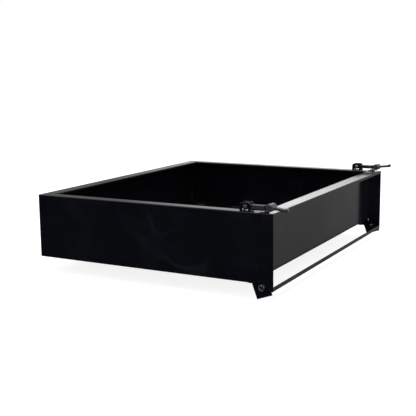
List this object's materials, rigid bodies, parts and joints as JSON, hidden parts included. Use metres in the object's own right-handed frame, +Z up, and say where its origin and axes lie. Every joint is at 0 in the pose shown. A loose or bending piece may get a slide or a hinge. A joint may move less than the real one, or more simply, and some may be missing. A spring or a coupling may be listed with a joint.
{
  "type": "utility vehicle cargo box",
  "caption": "Open steel cargo box with inturned rims, channels underneath to bolt it to a vehicle, and a drop-down tailgate held by rubber draw latches.",
  "frame": {"origin": "centre of the four vehicle bolt holes, on the undersides of the mounting channels that the box stands on", "axes": "+X across the box to its right side as seen from behind the tailgate, +Y from the tailgate to the front wall, +Z up"},
  "size_m": [1.144, 0.9701, 0.3145],
  "materials": {
    "black_powder_coat": "gloss powder coat",
    "zinc_plate": "zinc plated, slightly dulled",
    "black_rubber": "matt moulded"
  },
  "bodies": {
    "tub": {"floor_panel": "black_powder_coat", "floor_bar_left": "black_powder_coat", "floor_bar_right": "black_powder_coat", "floor_bar_front": "black_powder_coat", "front_wall": "black_powder_coat", "side_wall_left": "black_powder_coat", "side_wall_right": "black_powder_coat", "mounting_channel_left": "black_powder_coat", "mounting_channel_right": "black_powder_coat", "hinge_bracket_left": "black_powder_coat", "hinge_bracket_right": "black_powder_coat", "hinge_bolt_left": "zinc_plate", "hinge_bolt_right": "zinc_plate", "hinge_washers": "black_powder_coat", "hinge_nuts": "black_powder_coat", "latch_anchor_left": "black_powder_coat", "latch_anchor_right": "black_powder_coat", "anchor_bolts": "zinc_plate", "anchor_nuts": "zinc_plate", "latch_pins": "zinc_plate", "latch_pin_clips": "zinc_plate", "floor_bolts": "zinc_plate", "floor_nuts": "zinc_plate", "bracket_bolts": "zinc_plate", "bracket_nuts": "zinc_plate"},
    "tailgate": {"tailgate_pan": "black_powder_coat", "tailgate_bottom_rail": "black_powder_coat", "hinge_bush_left": "zinc_plate", "hinge_bush_right": "zinc_plate", "latch_keeper_left": "black_powder_coat", "latch_keeper_right": "black_powder_coat", "keeper_bolts": "zinc_plate", "keeper_nuts": "zinc_plate", "flange_rivets": "black_powder_coat"},
    "left_latch": {"latch_strap_left": "black_rubber"},
    "right_latch": {"latch_strap_right": "black_rubber"}
  },
  "joints": [
    {"name": "tailgate_hinge", "type": "hinge", "parent": "tub", "child": "tailgate", "pos_m": [0, -0.452, 0.046], "axis": [1, 0, 0], "range_deg": [0, 92]},
    {"name": "left_latch_pivot", "type": "hinge", "parent": "tub", "child": "left_latch", "pos_m": [-0.543, -0.389, 0.2996], "axis": [-1, 0, 0], "range_deg": [0, 160], "deforming": ["latch_strap_left"]},
    {"name": "right_latch_pivot", "type": "hinge", "parent": "tub", "child": "right_latch", "pos_m": [0.543, -0.389, 0.2996], "axis": [-1, 0, 0], "range_deg": [0, 160], "deforming": ["latch_strap_right"]}
  ]
}
